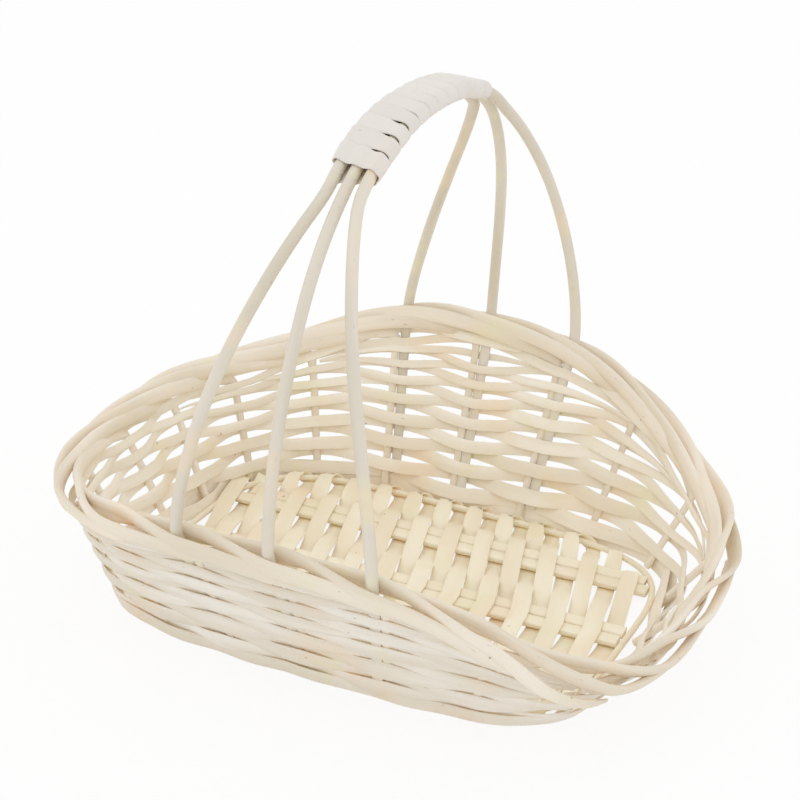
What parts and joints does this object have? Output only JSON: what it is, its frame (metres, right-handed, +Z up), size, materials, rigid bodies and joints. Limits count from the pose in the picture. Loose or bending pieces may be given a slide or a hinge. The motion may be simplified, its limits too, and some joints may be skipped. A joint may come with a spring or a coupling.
{
  "type": "wicker basket",
  "caption": "Oval willow basket: open woven wall on upright stakes, rope border, slatted woven base and a fixed arched handle of parallel rods bound together at the top.",
  "frame": {"origin": "on the ground under the middle of the basket's bounding box", "axes": "+X along the basket to the low end, -Y the front long side, +Z up; the handle arches from -Y to +Y"},
  "size_m": [0.3782, 0.3204, 0.301],
  "materials": {
    "stake_willow": "peeled, matte",
    "wall_split": "split willow, satin",
    "base_split": "split willow, satin",
    "handle_rod": "peeled, matte",
    "handle_binding": "shaved split, satin"
  },
  "bodies": {
    "root": {"base_end_split_left": "base_split", "base_end_split_right": "base_split", "base_hoop": "stake_willow", "base_lath_01": "base_split", "base_lath_02": "base_split", "base_lath_03": "base_split", "base_lath_04": "base_split", "base_lath_05": "base_split", "base_lath_06": "base_split", "base_weave": "base_split", "foot_round": "wall_split", "handle_rod_left": "handle_rod", "handle_rod_middle": "handle_rod", "handle_rod_right": "handle_rod", "handle_wrap": "handle_binding", "lower_round_01": "wall_split", "lower_round_02": "wall_split", "lower_round_03": "wall_split", "packing_row_01": "wall_split", "packing_row_02": "wall_split", "packing_row_03": "wall_split", "packing_row_04": "wall_split", "packing_row_05": "wall_split", "packing_row_06": "wall_split", "packing_row_07": "wall_split", "packing_row_08": "wall_split", "packing_row_09": "wall_split", "packing_row_10": "wall_split", "packing_row_11": "wall_split", "packing_row_12": "wall_split", "stake_01": "stake_willow", "stake_02": "stake_willow", "stake_03": "stake_willow", "stake_04": "stake_willow", "stake_05": "stake_willow", "stake_06": "stake_willow", "stake_07": "stake_willow", "stake_08": "stake_willow", "stake_09": "stake_willow", "stake_10": "stake_willow", "stake_11": "stake_willow", "stake_12": "stake_willow", "stake_13": "stake_willow", "stake_14": "stake_willow", "stake_15": "stake_willow", "stake_16": "stake_willow", "stake_17": "stake_willow", "stake_18": "stake_willow", "stake_19": "stake_willow", "stake_20": "stake_willow", "upper_round_01": "wall_split", "upper_round_02": "wall_split"}
  },
  "joints": []
}
